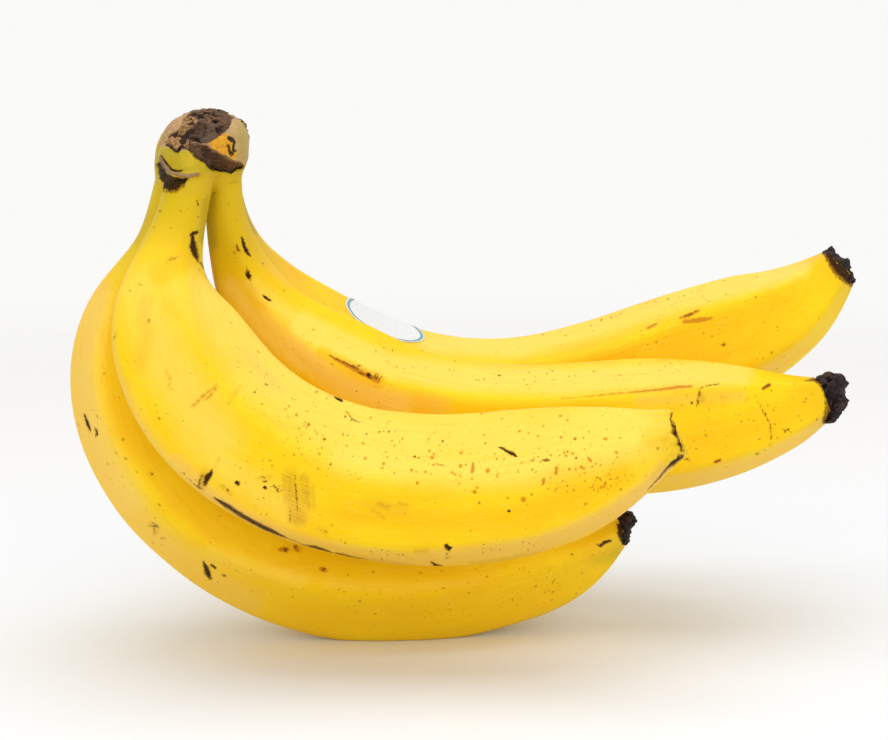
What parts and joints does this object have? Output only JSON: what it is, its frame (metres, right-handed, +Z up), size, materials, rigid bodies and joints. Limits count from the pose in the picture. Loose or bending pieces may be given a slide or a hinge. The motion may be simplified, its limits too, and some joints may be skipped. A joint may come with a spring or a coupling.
{
  "type": "banana hand",
  "caption": "Hand of curved ripe bananas joined at a dry brown crown, with dried flower ends on the tips, standing on the belly of its lowest finger.",
  "frame": {"origin": "middle of the hand's outline, on the surface that it stands on", "axes": "+X from the crown's side towards the tips, +Y from the front finger to the back one, +Z up"},
  "size_m": [0.2284, 0.1203, 0.149],
  "materials": {
    "peel": "satin",
    "crown": "matte",
    "flower_end": "matte",
    "label": "satin"
  },
  "bodies": {
    "root": {"crown": "crown", "finger_front": "peel", "finger_lower": "peel", "finger_middle": "peel", "finger_back": "peel", "flower_end_lower": "flower_end", "flower_end_middle": "flower_end", "flower_end_back": "flower_end", "label": "label"}
  },
  "joints": []
}
